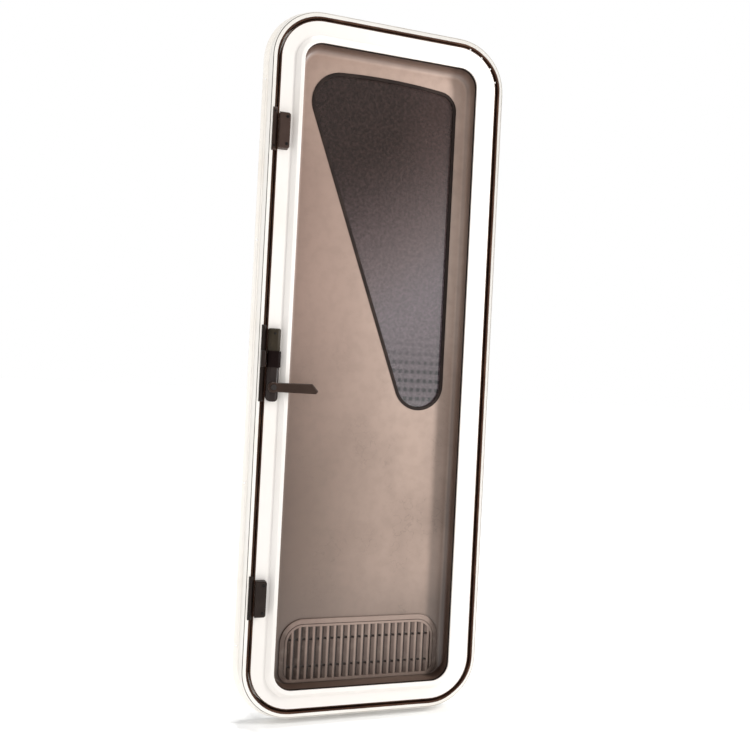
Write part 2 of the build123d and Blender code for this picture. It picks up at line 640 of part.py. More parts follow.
save(make_leaf_frame(), "leaf_frame")
save(make_leaf_seal(), "leaf_seal")
save(make_gasket(), "panel_gasket")
save(make_tray(), "inner_panel")
save(make_core(), "door_core")
save(make_skin(), "outer_skin")
save(make_edging(), "window_edging")
save(make_glazing(PANE_Y, PANE_BACK_Y), "window_pane")
save(make_glazing(MESH_Y, MESH_Y + MESH_THICKNESS), "window_mesh")
save(make_vent_grille(), "vent_grille")
save(make_vent_gauze(), "vent_gauze")
save(make_outer_vent(), "outer_vent")
save(make_lock_case(), "lock_case")
collar = make_lock_bar(COLLAR_BOTTOM, COLLAR_TOP, LOCK_WIDTH + COLLAR_EXTRA, LOCK_DEPTH + COLLAR_EXTRA)
save(collar, "lock_collar")
save(make_barrel(), "lock_barrel")
save(make_handle_plate(), "outer_handle_plate")
save(make_grip(), "outer_grip")
save(make_key_cylinder(), "key_cylinder")

save(make_lever(), "lever_arm")
save(make_lever_cap(), "lever_cap")
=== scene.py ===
import json
import math
import random
import bmesh
import bpy
from mathutils import Matrix, Vector


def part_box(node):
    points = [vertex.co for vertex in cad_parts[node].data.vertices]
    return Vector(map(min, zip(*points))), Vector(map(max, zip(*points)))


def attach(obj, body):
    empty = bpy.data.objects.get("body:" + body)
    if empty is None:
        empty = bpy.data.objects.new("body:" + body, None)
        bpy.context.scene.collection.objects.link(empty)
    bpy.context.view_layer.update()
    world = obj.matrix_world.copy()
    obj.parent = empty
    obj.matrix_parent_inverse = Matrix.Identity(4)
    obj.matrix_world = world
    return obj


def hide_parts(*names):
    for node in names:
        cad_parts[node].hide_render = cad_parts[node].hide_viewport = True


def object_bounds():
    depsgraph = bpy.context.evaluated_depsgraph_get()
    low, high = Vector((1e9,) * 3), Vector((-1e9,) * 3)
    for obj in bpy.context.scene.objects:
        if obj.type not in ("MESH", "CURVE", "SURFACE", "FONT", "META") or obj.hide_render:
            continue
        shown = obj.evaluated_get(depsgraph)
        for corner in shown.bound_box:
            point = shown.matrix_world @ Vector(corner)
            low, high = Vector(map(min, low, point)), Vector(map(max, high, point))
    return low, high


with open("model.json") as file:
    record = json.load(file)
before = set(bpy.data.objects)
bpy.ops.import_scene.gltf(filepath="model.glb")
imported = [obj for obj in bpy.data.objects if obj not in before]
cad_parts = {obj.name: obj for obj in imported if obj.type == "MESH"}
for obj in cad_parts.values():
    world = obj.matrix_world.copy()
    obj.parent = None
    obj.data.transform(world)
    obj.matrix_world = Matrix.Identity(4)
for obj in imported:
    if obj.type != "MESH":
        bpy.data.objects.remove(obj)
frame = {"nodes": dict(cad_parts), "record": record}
cad_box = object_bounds()
nodes = frame["nodes"]

# A caravan entry door seen from the living side: finishes, small fittings, light and camera.
# All sizes are in metres, in the part's own frame: +X to the hinge side, +Y outdoors, +Z up.
INDOORS = (0, -1, 0)
OUTDOORS = (0, 1, 0)

# The jamb's outline and indoor face, as in the part's source
DOOR_CENTRE = 0.881
JAMB_HALF_WIDTH = 0.311
JAMB_HALF_HEIGHT = 0.875
JAMB_RADIUS = 0.129
JAMB_FACE = -0.040
CORNER_X = JAMB_HALF_WIDTH - JAMB_RADIUS
CORNER_Z = JAMB_HALF_HEIGHT - JAMB_RADIUS

# Camera at the photograph's viewpoint
CAMERA_PLACE = (-0.57363, -1.88935, 0.8496)
CAMERA_TURN = (90.4087, -2.8885, -17.0339)
CAMERA_LENS = 36.668

# Floor and room
FLOOR_GAP = 0.001
FLOOR_REACH = 40.0
FLOOR_GLOW = 0.10
FLOOR_COLOUR = (0.90, 0.90, 0.895, 1.0)
FLOOR_CLOUD = (0.885, 0.885, 0.88, 1.0)
ROOM_FILL = 0.53
BACKGROUND = 1.0
WHITE = (1.0, 1.0, 1.0, 1.0)

# Lights, with the points that they are aimed at
KEY_PLACE = (1.26, -1.00, 1.35)
KEY_SIZE = (0.24, 1.20)
KEY_POWER = 28.0
KEY_TARGET = (0, 0, 1.0)
SIDE_PLACE = (-2.4, 0.1, 0.9)
SIDE_SIZE = (1.0, 1.8)
SIDE_POWER = 27.0
SIDE_TARGET = (0, 0.1, 0.9)
JAMB_FILL_PLACE = (-0.9, -2.5, 0.9)
JAMB_FILL_SIZE = (1.0, 1.8)
JAMB_FILL_POWER = 31.0
BACK_PLACE = (-2.2, 3.0, 2.2)
BACK_SIZE = (1.6, 1.6)
BACK_POWER = 16.0
DOOR_MIDDLE = (0, 0, 0.9)
TOP_SUN = 1.9
TOP_SUN_SPREAD = 3.0

HINGE_PLACES = ("upper", "middle", "lower")
HINGE_FLAPS = tuple(place + "_hinge_flap" for place in HINGE_PLACES)
HINGE_BASES = tuple(place + "_hinge_base" for place in HINGE_PLACES)

# The key light is kept off these, so that white faces turned to it aren't burnt out
KEY_SPARES = ("jamb_frame", "outer_skin", "outer_vent", "outer_handle_plate", "outer_grip", "key_cylinder",
              "hinge_screws", "handle_screws") + HINGE_FLAPS + HINGE_BASES

# The side light shines past these, so that they throw no hard shadow on the leaf's border
SIDE_PASSES = ("upper_latch_case", "lower_latch_case", "lock_case", "lock_collar", "lock_barrel",
               "lever_arm", "lever_cap", "upper_keeper", "lower_keeper", "lock_keeper", "latch_screws",
               "lock_screws", "keeper_screws")

# Softened edges: thin sheet and mouldings, then the thicker cases
SOFT_SHEET = 0.0006
SOFT_CASE = 0.0008
SHEET_EDGED = ("jamb_frame", "leaf_frame", "vent_grille", "outer_vent",
               "outer_handle_plate") + HINGE_FLAPS + HINGE_BASES
CASE_EDGED = ("upper_keeper", "lower_keeper", "lock_case", "lock_collar", "lock_barrel", "lever_cap",
              "lock_keeper")
WELD_REACH = 0.00002
SHARP_ANGLE = 30.0

# Painted shade and grime in the jamb's groove: pairs of places from none to full, in from the outline and
# across
GROOVE_OUTER = (0.0047, 0.0055)
GROOVE_INNER = (0.0073, 0.0065)
GROOVE_LOCK_SIDE = (-0.20, -0.30)

# Painted light and shade of the formed panel: pairs of places, up, across or in depth, from none to full
# The taupe is painted darker lower down and at the sill, and paler at the head and to the hinge side
PANEL_LOWER = (1.15, 0.45)
PANEL_LIT_HEAD = (1.32, 1.58)
PANEL_SILL_SHADE = (0.41, 0.24)
PANEL_FOOT = (0.25, 0.13)
PANEL_HINGE_LIGHT = (-0.245, 0.13)
SILL_CORNER = (0.16, 0.21)
HEAD_COVE = (1.60, 1.65)
LOCK_COVE = (-0.19, -0.215)
HINGE_COVE = (0.19, 0.215)
HINGE_FLAT = (0.174, 0.190)
HINGE_EDGE = (0.200, 0.216)
COVE_DEPTH = (-0.0018, -0.0042)
TURN_DEPTH = (-0.002, -0.009)
WALL_DEPTH = (-0.006, -0.034)
HINGE_WALL_DEPTH = (-0.008, -0.034)

# Painted light: a paler strip of the panel beside the window, on the hinge side
STRIP_ACROSS = (0.182, 0.196)
STRIP_FOOT = (0.88, 1.00)
STRIP_HEAD = (1.42, 1.28)

# Window pane: painted shade darkens colour and tint upwards along a slanted line, less in a paler corner at
# the hinge side
PANE_SLANT = 0.75
PANE_SHADED_UPPER = (1.10, 1.48)
PANE_COOL = (1.15, 0.95)
PANE_TINT_SHADE = (0.95, 1.50)
PANE_THIN_TINT = 0.58
PANE_FULL_TINT = 0.90
PANE_CORNER_ACROSS = (0.00, 0.15)
PANE_CORNER_UP = (1.28, 1.46)

# Dark checks at the window's tip: one row's height, one column's place, and the steps between them
CHECK_ROW = 0.8539
CHECK_ROW_PITCH = 0.0237
CHECK_COLUMN = 0.1236
CHECK_PITCH = 0.0174
CHECK_FADE = (1.00, 0.85)

# Insect mesh, cut to the outline of the faces that look indoors
WIRE_PITCH = 0.0030
WIRE_RADIUS = 0.00028
WIRE_CORNERS = ((-1, 0), (0, -1), (1, 0), (0, 1))
WEAVE_OFFSET = 0.00012
# Heights between which the wires turn paler downwards: painted light
WIRE_LIT_BELOW = (1.45, 1.0)
OUTLINE_WELD = 0.00001
FACING_INDOORS = -0.9

# Painted light and shade of the vent: paler across towards the middle, lit crests of its blades, darker foot
# and ends
VENT_HINGE_LIGHT = (-0.19, 0.0)
VENT_LIT_CREST = (-0.0040, -0.0054)
VENT_FOOT_SHADE = (0.21, 0.11)
VENT_END_START = 0.180
VENT_END = 0.203

# Bulb of the seam seal; except at the lock side it sits over the jamb's edge, by a share on each side
BULB_RADIUS = 0.0021
BULB_INSET = 0.0186
BULB_DEPTH = 0.0055
BULB_OVER_HINGE_SIDE = 1.1
BULB_OVER_SILL = 0.9
BULB_OVER_HEAD = 0.7
BULB_SHIFT = 0.0026
BULB_RISE = 0.0050
BULB_SWELL = 0.0006
BULB_WOBBLE = 0.0003
BULB_DRIFT = 0.5
BULB_DRIFT_KEPT = 0.8
BULB_SEED = 5
BULB_STEP = 0.012
BULB_SIDES = 10

# White clips in the notches of the leaf's seal, at the upper hinge-side corner
CLIP_ANGLES = (15.0, 35.0, 55.0, 75.0)
CLIP_ROOT = 0.1025
CLIP_REACH = 0.0046
CLIP_WIDTH = 0.0046
CLIP_RIB_WIDTH = CLIP_WIDTH / 3
CLIP_FRONT = -0.0398
CLIP_DEPTH = 0.0110
CLIP_ROUND = 0.0006

# Screw heads: their proportions as shares of the radius or of the rise
HEAD_SIDES = 24
HEAD_RISE = 0.42
HEAD_RINGS = ((1.0, -0.2), (1.0, 0.45), (0.93, 0.75), (0.80, 0.93), (0.66, 1.0))
CROSS_ARM = 0.60
CROSS_HALF_WIDTH = 0.13
CROSS_TAPER = 0.7
CROSS_FLOOR = 0.35

# Screws: radius of the head, and places as shares of a fitting's width and height
LATCH_SCREW = 0.0038
LATCH_SPOTS = ((0.72, 0.12), (0.72, 0.88))
KEEPER_SCREW = 0.0024
KEEPER_SPOTS = ((0.5, 0.1), (0.5, 0.9))
LOCK_SCREW = 0.0030
LOCK_SPOTS = ((0.5, 0.78),)
HANDLE_SCREW = 0.0036
HANDLE_SPOTS = ((0.5, 0.03), (0.5, 0.97))
HINGE_SCREW = 0.0042
HINGE_HEIGHTS = (0.16, 0.84)
HINGE_SCREW_INSET = 0.016
HINGE_PLATE = 0.003

# Grain of paints and plastics, in waves per metre, and its depth
PEEL_GRAIN = 420.0
JAMB_PEEL = 0.00006
SKIN_PEEL = 0.000012
HINGE_PEEL = 0.00003
SPARK_GRAIN = 1300.0
SPARK_DEPTH = 0.00007
LEATHER_DEPTH = 0.00005
RUBBER_DEPTH = 0.00008
PANEL_WAVE_DEPTH = 0.004
FOAM_DEPTH = 0.0004
RUB_DEPTH = 0.00002


# Finishes


class Signal:
    """A socket in a wiring; sums and products of signals add Math nodes."""

    def __init__(self, wiring, socket):
        self.wiring = wiring
        self.socket = socket

    def combine(self, operation, first, second):
        return self.wiring.node("ShaderNodeMath", {"operation": operation}, {0: first, 1: second})

    def __add__(self, other):
        return self.combine("ADD", self, other)

    def __radd__(self, other):
        return self.combine("ADD", other, self)

    def __sub__(self, other):
        return self.combine("SUBTRACT", self, other)

    def __rsub__(self, other):
        return self.combine("SUBTRACT", other, self)

    def __mul__(self, other):
        return self.combine("MULTIPLY", self, other)

    def __rmul__(self, other):
        return self.combine("MULTIPLY", other, self)


class Wiring:
    """The nodes of a finish or of the room's light."""

    def __init__(self, tree):
        self.tree = tree
        self.tree.nodes.clear()

    def node(self, kind, settings=None, sockets=None, out=0):
        """Any node: its settings are set first, then its sockets get values or links."""
        made = self.tree.nodes.new(kind)
        for key, value in (settings or {}).items():
            setattr(made, key, value)
        for key, value in (sockets or {}).items():
            if isinstance(value, Signal):
                self.tree.links.new(value.socket, made.inputs[key])
            else:
                made.inputs[key].default_value = value
        return Signal(self, made.outputs[out]) if len(made.outputs) else None


class Finish(Wiring):
    """A material in the making: the nodes that feed one Principled shader."""

    def __init__(self, name):
        self.material = bpy.data.materials.new(name)
        self.material.use_nodes = True
        super().__init__(self.material.node_tree)
        self.place = self.node("ShaderNodeTexCoord", out="Object")

    def wear(self, sockets):
        """Adds the shader with its sockets, and gives the finished material."""
        shader = self.node("ShaderNodeBsdfPrincipled", None, sockets)
        self.node("ShaderNodeOutputMaterial", None, {"Surface": shader})
        return self.material

    def vector(self, operation, sockets, out=0):
        return self.node("ShaderNodeVectorMath", {"operation": operation}, sockets, out)

    def noise(self, scale, detail=2.0, stretch=None):
        """Soft noise from 0 to 1; scale is in waves per metre."""
        place = self.place
        if stretch:
            place = self.vector("MULTIPLY", {0: place, 1: stretch})
        return self.node("ShaderNodeTexNoise", None, {"Vector": place, "Scale": scale, "Detail": detail})

    def grain(self, scale):
        """Cell distance from 0 to about 1, for leather grain and foam."""
        return self.node("ShaderNodeTexVoronoi", None, {"Vector": self.place, "Scale": scale})

    def band(self, value, low, high, start=0.0, end=1.0):
        """Goes smoothly from start to end while value goes from low to high."""
        settings = {"interpolation_type": "SMOOTHSTEP"}
        return self.node("ShaderNodeMapRange", settings, {0: value, 1: low, 2: high, 3: start, 4: end})

    def along(self, axis):
        """A point's place along X, Y or Z."""
        return self.node("ShaderNodeSeparateXYZ", None, {0: self.place}, out=axis)

    def inset(self):
        """How far a point near the edge lies inside the jamb's outline, seen from the front."""
        place = self.vector("SUBTRACT", {0: self.place, 1: (0, 0, DOOR_CENTRE)})
        folded = self.vector("ABSOLUTE", {0: place})
        past = self.vector("SUBTRACT", {0: folded, 1: (CORNER_X, 1.0, CORNER_Z)})
        past = self.vector("MAXIMUM", {0: past, 1: (0, 0, 0)})
        return JAMB_RADIUS - self.vector("LENGTH", {0: past}, out="Value")

    def stripes(self, axis, start, pitch):
        """Soft stripes across an axis, from -1 between them to 1 in their middle."""
        turns = (self.along(axis) - start) * (2 * math.pi / pitch)
        return self.node("ShaderNodeMath", {"operation": "COSINE"}, {0: turns})

    def checks(self):
        """Rows of soft dark checks at the window's tip, strongest in their middle."""
        rows = self.band(self.stripes("Z", CHECK_ROW, CHECK_ROW_PITCH), -0.3, 0.7)
        columns = self.band(self.stripes("X", CHECK_COLUMN, CHECK_PITCH), -0.5, 0.5)
        dark = 0.14 + 0.86 * rows * (0.35 + 0.65 * columns)
        return dark * self.band(self.along("Z"), *CHECK_FADE)

    def mix(self, share, one, other):
        """Colour that goes from one to the other."""
        return self.node("ShaderNodeMix", {"data_type": "RGBA"}, {0: share, 6: one, 7: other}, out=2)

    def bump(self, height, depth):
        return self.node("ShaderNodeBump", None, {"Height": height, "Distance": depth})

    def edges(self, low, high):
        """Share of wear on outer edges."""
        pointed = self.node("ShaderNodeNewGeometry", out="Pointiness")
        return self.band(pointed, low, high)


def screen(red, green, blue):
    """A colour given as screen levels from 0 to 255."""
    levels = [level / 255 for level in (red, green, blue)]
    return tuple(v / 12.92 if v <= 0.04045 else ((v + 0.055) / 1.055) ** 2.4 for v in levels) + (1.0,)


def white_paint(name, colour, soiled, roughness, peel):
    """Painted metal: fine orange peel, and a little soiling in patches."""
    finish = Finish(name)
    patches = finish.band(finish.noise(2.5, 1.5), 0.35, 0.75)
    return finish.wear({
        "Base Color": finish.mix(patches * 0.35, colour, soiled),
        "Roughness": roughness + 0.10 * finish.noise(9.0, 2.0),
        "Normal": finish.bump(finish.noise(PEEL_GRAIN, 1.0), peel),
    })


def jamb_paint(name):
    """White paint with painted shade and grime in the groove round the jamb, most of it at the lock side."""
    finish = Finish(name)
    patches = finish.band(finish.noise(7.0, 5.0), 0.45, 0.75)
    inset = finish.inset()
    # Painted shade, with some grime, in the groove; deepest at the lock side, away from the key light
    groove = finish.band(inset, *GROOVE_OUTER) * finish.band(inset, *GROOVE_INNER)
    shaded_lock_side = finish.band(finish.along("X"), *GROOVE_LOCK_SIDE)
    groove_shade_and_dirt = groove * (0.2 + 0.8 * shaded_lock_side) * (0.6 + 0.6 * finish.noise(35.0, 4.0))
    paint = finish.mix(patches * 0.5, screen(233, 229, 223), screen(222, 215, 205))
    return finish.wear({
        "Base Color": finish.mix(groove_shade_and_dirt, paint, screen(60, 53, 47)),
        "Roughness": 0.32 + 0.12 * finish.noise(60.0, 3.0),
        "Normal": finish.bump(finish.noise(PEEL_GRAIN, 1.0), JAMB_PEEL),
    })


def white_moulding(name):
    """Moulded plastic with a fine leather grain."""
    finish = Finish(name)
    patches = finish.band(finish.noise(5.0, 4.0), 0.45, 0.8)
    grain = finish.grain(750.0) + 0.6 * finish.noise(1400.0, 1.0)
    return finish.wear({
        "Base Color": finish.mix(patches * 0.5, screen(234, 229, 224), screen(225, 218, 210)),
        "Roughness": 0.40 + 0.14 * finish.noise(80.0, 3.0),
        "Normal": finish.bump(grain, LEATHER_DEPTH),
    })


def rubber(name, colour, dusty):
    """Dark rubber, dusty in places."""
    finish = Finish(name)
    dust = finish.band(finish.noise(22.0, 5.0), 0.45, 0.75)
    speck = finish.noise(900.0, 2.0)
    return finish.wear({
        "Base Color": finish.mix(dust, colour, dusty),
        "Roughness": 0.62 + 0.2 * speck,
        "Specular IOR Level": 0.2,
        "Normal": finish.bump(speck, RUBBER_DEPTH),
    })


def panel_shade(finish, across, height, lower, sill_shade):
    """Share of shade in the panel's coves and walls; the hinge side has its own, and the foot has less."""
    depth = finish.along("Y")
    cove = finish.band(depth, *COVE_DEPTH)
    shade = 0.45 * finish.band(depth, *TURN_DEPTH) + 0.43 * finish.band(depth, *WALL_DEPTH)
    shade = shade * (1 - 0.28 * finish.band(height, *PANEL_FOOT))
    hinge_cove = (0.33 + 0.29 * lower + 0.22 * sill_shade) * cove
    hinge_wall = (0.36 - 0.18 * lower - 0.36 * sill_shade) * finish.band(depth, *HINGE_WALL_DEPTH)
    shade = shade + finish.band(across, *HINGE_COVE) * (hinge_cove + hinge_wall - shade)
    head_cove = finish.band(height, *HEAD_COVE) * cove
    lock_cove = finish.band(across, *LOCK_COVE) * cove
    hinge_side = 0.15 * finish.band(across, *HINGE_FLAT) + 0.10 * finish.band(across, *HINGE_EDGE)
    return shade + (0.32 * head_cove + 0.25 * lock_cove + lower * hinge_side) * (1 - shade)


def panel_colour(finish, across, height, lower, sill_shade):
    """The panel's taupe, with painted light paler to the hinge side and the head; clouded and scuffed lower
    down.
    """
    hinge_light = finish.band(across, *PANEL_HINGE_LIGHT)
    head = finish.band(height, *PANEL_LIT_HEAD)
    middle_colour = finish.mix(hinge_light, screen(145, 119, 106), screen(169, 145, 131))
    lit_head_colour = finish.mix(hinge_light, screen(162, 136, 122), screen(178, 153, 139))
    # Painted shade: the taupe darkens lower down
    shaded_foot_colour = finish.mix(hinge_light, screen(97, 76, 63), screen(160, 137, 123))
    plain = finish.mix(lower, finish.mix(head, middle_colour, lit_head_colour), shaded_foot_colour)
    # Painted light: a paler strip beside the window, on the hinge side
    strip = finish.band(across, *STRIP_ACROSS) * finish.band(height, *STRIP_FOOT)
    strip = strip * finish.band(height, *STRIP_HEAD)
    plain = finish.mix(strip * 0.35, plain, screen(200, 178, 165))
    clouds = finish.band(finish.noise(6.5, 4.0, (1.0, 1.0, 0.8)), 0.38, 0.68)
    cloudy = finish.mix(clouds * (0.10 + 0.25 * lower), plain, screen(112, 92, 80))
    blotch = finish.band(finish.noise(38.0, 5.0), 0.40, 0.66)
    trace = finish.noise(26.0, 6.0)
    scuffs = finish.band(trace, 0.485, 0.50) * finish.band(trace, 0.515, 0.50)
    scuffs = scuffs * finish.band(clouds, 0.3, 0.8)
    marked = finish.mix(blotch * 0.10 + scuffs * (0.05 + 0.20 * lower), cloudy, screen(84, 67, 57))
    # Painted shade over the sill, deeper towards the hinge-side corner
    corner = finish.band(across, *SILL_CORNER)
    return finish.mix(sill_shade * (0.4 + 0.3 * corner), marked, screen(84, 68, 58))


def taupe_panel(name):
    """Formed panel with a fine grain, waves that grow downwards, and shade in its coves."""
    finish = Finish(name)
    across = finish.along("X")
    height = finish.along("Z")
    lower = finish.band(height, *PANEL_LOWER)
    sill_shade = finish.band(height, *PANEL_SILL_SHADE)
    shade = panel_shade(finish, across, height, lower, sill_shade)
    colour = panel_colour(finish, across, height, lower, sill_shade)
    fine = finish.noise(1100.0, 2.0)
    wave = finish.noise(8.0, 1.0, (1.0, 1.0, 0.7)) * (0.25 + 0.75 * lower)
    return finish.wear({
        "Base Color": finish.mix(shade, colour, screen(56, 34, 22)),
        "Roughness": 0.38 + 0.10 * fine,
        "Specular IOR Level": 0.8,
        "Normal": finish.bump(wave + 0.02 * fine, PANEL_WAVE_DEPTH),
    })


def tinted_pane(name):
    """Smoked acrylic, with painted shade making it darker towards the top, faint dust, and dark checks at
    its tip.
    """
    finish = Finish(name)
    across = finish.along("X")
    height = finish.along("Z")
    slant = height - PANE_SLANT * across
    # Painted shade: the pane darkens upwards along a slant, less in the corner at the hinge side
    corner = finish.band(across, *PANE_CORNER_ACROSS) * finish.band(height, *PANE_CORNER_UP)
    upper = finish.band(slant, *PANE_SHADED_UPPER) * (1 - 0.36 * corner)
    cool = finish.band(slant, *PANE_COOL)
    stain = finish.noise(120.0, 3.0)
    warm_haze = finish.mix(stain, screen(84, 66, 63), screen(120, 96, 92))
    cool_haze = finish.mix(stain, screen(84, 68, 72), screen(112, 96, 102))
    tip = finish.checks()
    haze = finish.mix(tip, finish.mix(cool, warm_haze, cool_haze), screen(24, 19, 24))
    finish.material.surface_render_method = "BLENDED"
    return finish.wear({
        "Base Color": finish.mix(upper, haze, screen(54, 41, 36)),
        "Roughness": 0.05 + 0.08 * finish.noise(30.0, 4.0),
        "Specular IOR Level": 0.25,
        # Painted shade too: the tint thickens upwards
        "Alpha": finish.band(slant, *PANE_TINT_SHADE, PANE_THIN_TINT, PANE_FULL_TINT) + 0.06 * tip,
    })


def plastic(name, colour, dusty, roughness, shine=0.2):
    """Spark-textured plastic with dust in patches and paler worn edges."""
    finish = Finish(name)
    dust = finish.band(finish.noise(35.0, 5.0), 0.42, 0.72)
    spark = finish.noise(SPARK_GRAIN, 2.0)
    worn = finish.edges(0.53, 0.62) * finish.band(finish.noise(140.0, 3.0), 0.35, 0.6)
    return finish.wear({
        "Base Color": finish.mix(dust * 0.2 + worn * 0.5, colour, dusty),
        "Roughness": roughness + 0.16 * spark,
        "Specular IOR Level": shine,
        "Normal": finish.bump(spark, SPARK_DEPTH),
    })


def vent_plastic(name):
    """Moulded plastic with painted shade down the blades' slopes, at the ends, to the lock side and to the
    foot.
    """
    finish = Finish(name)
    across = finish.along("X")
    # Painted light and shade: paler to the middle and on the crests; darker down the slopes, at the ends and
    # foot
    hinge_light = finish.band(across, *VENT_HINGE_LIGHT)
    lit_crest = finish.band(finish.along("Y"), *VENT_LIT_CREST)
    foot = finish.band(finish.along("Z"), *VENT_FOOT_SHADE)
    ends = finish.band(across * across, VENT_END_START ** 2, VENT_END ** 2)
    shaded_slope_colour = finish.mix(hinge_light, screen(72, 57, 49), screen(118, 100, 91))
    lit_crest_colour = finish.mix(hinge_light, screen(126, 105, 95), screen(146, 126, 115))
    lit_crest_colour = finish.mix(ends, lit_crest_colour, screen(86, 69, 60))
    shaded = finish.mix(foot * 0.35, finish.mix(lit_crest, shaded_slope_colour, lit_crest_colour), screen(68, 55, 47))
    dust = finish.band(finish.noise(45.0, 5.0), 0.45, 0.75)
    spark = finish.noise(SPARK_GRAIN, 2.0)
    return finish.wear({
        "Base Color": finish.mix(dust * 0.25, shaded, screen(150, 134, 122)),
        "Roughness": 0.45 + 0.16 * spark,
        "Normal": finish.bump(spark, SPARK_DEPTH),
    })


def foam(name):
    """Cut foam with open cells."""
    finish = Finish(name)
    cells = finish.grain(600.0)
    return finish.wear({
        "Base Color": finish.mix(cells, screen(226, 218, 196), screen(206, 196, 172)),
        "Roughness": 0.9,
        "Normal": finish.bump(cells, FOAM_DEPTH),
    })


def dusty_gauze(name):
    """Dark gauze behind the vent, with dust in it."""
    finish = Finish(name)
    return finish.wear({
        "Base Color": finish.mix(finish.noise(40.0, 4.0), screen(54, 45, 41), screen(78, 67, 61)),
        "Roughness": 0.6,
    })


def insect_wire(name):
    """Mesh wires, dusty in blotches, with painted light paler below, and rows of dark checks at the window's
    tip.
    """
    finish = Finish(name)
    blotch = finish.band(finish.noise(130.0, 4.0), 0.36, 0.66)
    plain = finish.mix(blotch, screen(34, 22, 20), screen(76, 58, 55))
    pale = finish.mix(blotch, screen(74, 61, 66), screen(114, 97, 104))
    # Painted light: the wires turn paler lower down
    dusty = finish.mix(finish.band(finish.along("Z"), *WIRE_LIT_BELOW), plain, pale)
    return finish.wear({
        "Base Color": finish.mix(finish.checks(), dusty, screen(22, 19, 20)),
        "Roughness": 0.6,
    })


def bright_metal(name, colour, roughness):
    """Turned and plated metal with faint rubbing marks."""
    finish = Finish(name)
    rub = finish.noise(500.0, 3.0, (1.0, 1.0, 0.1))
    return finish.wear({
        "Base Color": colour,
        "Metallic": 1.0,
        "Roughness": roughness + 0.14 * rub,
        "Normal": finish.bump(rub, RUB_DEPTH),
    })


WHITE_PAINT = screen(240, 239, 236)
HINGE_PAINT = screen(240, 239, 235)
PLATED = (0.78, 0.77, 0.75, 1.0)
STEEL = (0.55, 0.54, 0.52, 1.0)

# Finish of each material slot in the record
slot_finishes = {
    "white_jamb": jamb_paint("white_jamb"),
    "white_skin": white_paint("white_skin", WHITE_PAINT, screen(230, 227, 222), 0.26, SKIN_PEEL),
    "hinge_metal": white_paint("hinge_metal", HINGE_PAINT, screen(214, 208, 198), 0.34, HINGE_PEEL),
    "white_moulding": white_moulding("white_moulding"),
    "seal_rubber": rubber("seal_rubber", screen(62, 37, 24), screen(86, 58, 42)),
    "taupe_panel": taupe_panel("taupe_panel"),
    "core_foam": foam("core_foam"),
    "tinted_pane": tinted_pane("tinted_pane"),
    "insect_mesh": insect_wire("insect_mesh"),
    "vent_plastic": vent_plastic("vent_plastic"),
    "vent_gauze": dusty_gauze("vent_gauze"),
    "lock_black": plastic("lock_black", screen(33, 22, 16), screen(58, 45, 38), 0.34),
    "bright_metal": bright_metal("bright_metal", PLATED, 0.14),
}
screw_steel = bright_metal("screw_steel", STEEL, 0.28)
screw_black = plastic("screw_black", screen(18, 13, 12), screen(46, 39, 36), 0.35)

# Nodes with a tone of their own within their slot; the upper latch's paler tone is painted light
edging_rubber = rubber("edging_rubber", screen(36, 27, 24), screen(52, 41, 36))
# Painted light: the upper latch's case and keeper get a paler copy of the lock plastic
lit_latch_brown = plastic("lit_latch_brown", screen(60, 45, 39), screen(86, 71, 64), 0.34)
node_finishes = {
    "window_edging": edging_rubber,
    "panel_gasket": edging_rubber,
    "upper_latch_case": lit_latch_brown,
    "upper_keeper": lit_latch_brown,
    "lock_case": plastic("case_brown", screen(42, 34, 22), screen(66, 56, 43), 0.34),
    "lock_collar": plastic("collar_black", screen(18, 8, 7), screen(36, 24, 21), 0.40, 0.06),
    "lock_barrel": plastic("barrel_brown", screen(35, 24, 20), screen(58, 45, 39), 0.28, 0.3),
    "lever_arm": plastic("lever_brown", screen(45, 30, 22), screen(68, 52, 43), 0.36),
    "lever_cap": plastic("cap_black", screen(28, 20, 17), screen(54, 44, 39), 0.14, 0.5),
}
for subpart in frame["record"]["subparts"]:
    slot_finish = slot_finishes[subpart["material_slot"]]
    nodes[subpart["node"]].material_slots[0].material = node_finishes.get(subpart["node"], slot_finish)


# Pieces


def add_piece(name, mesh, material, body):
    """A new piece in the part's frame, riding on a body."""
    mesh.materials.append(material)
    piece = bpy.data.objects.new(name, mesh)
    bpy.context.scene.collection.objects.link(piece)
    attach(piece, body)
    return piece


def mesh_from(name, points, faces, smooth=False):
    """A mesh from points and faces, with flat or smooth shading."""
    mesh = bpy.data.meshes.new(name)
    mesh.from_pydata(points, [], faces)
    mesh.polygons.foreach_set("use_smooth", [smooth] * len(mesh.polygons))
    mesh.update()
    return mesh


def mesh_of(name, shape):
    """A mesh from a finished shape, which is then let go."""
    mesh = bpy.data.meshes.new(name)
    shape.to_mesh(mesh)
    shape.free()
    return mesh


def soften(node, width):
    """Rounds a node's sharp edges; its own mesh stays as it is."""
    weld = nodes[node].modifiers.new("weld", "WELD")
    weld.merge_threshold = WELD_REACH
    bevel = nodes[node].modifiers.new("soft edges", "BEVEL")
    bevel.width = width
    bevel.segments = 2
    bevel.limit_method = "ANGLE"
    bevel.angle_limit = math.radians(SHARP_ANGLE)
    bevel.harden_normals = True


def ring_path(inset, step):
    """Points round the door parallel to the jamb's edge, each with the direction away from the middle."""
    radius = JAMB_RADIUS - inset
    corners = [(CORNER_X, CORNER_Z), (-CORNER_X, CORNER_Z), (-CORNER_X, -CORNER_Z), (CORNER_X, -CORNER_Z)]
    path = []
    for index, (x, z) in enumerate(corners):
        count = math.ceil(radius * math.pi / 2 / step)
        for part in range(count + 1):
            angle = math.pi / 2 * (index + part / count)
            path.append((x, z, math.cos(angle), math.sin(angle)))
        next_x, next_z = corners[(index + 1) % 4]
        away = math.pi / 2 * (index + 1)
        out_x = math.cos(away)
        out_z = math.sin(away)
        count = math.ceil(math.hypot(next_x - x, next_z - z) / step)
        for part in range(1, count):
            share = part / count
            path.append((x + (next_x - x) * share, z + (next_z - z) * share, out_x, out_z))
    return [(x + radius * out_x, DOOR_CENTRE + z + radius * out_z, out_x, out_z)
            for x, z, out_x, out_z in path]


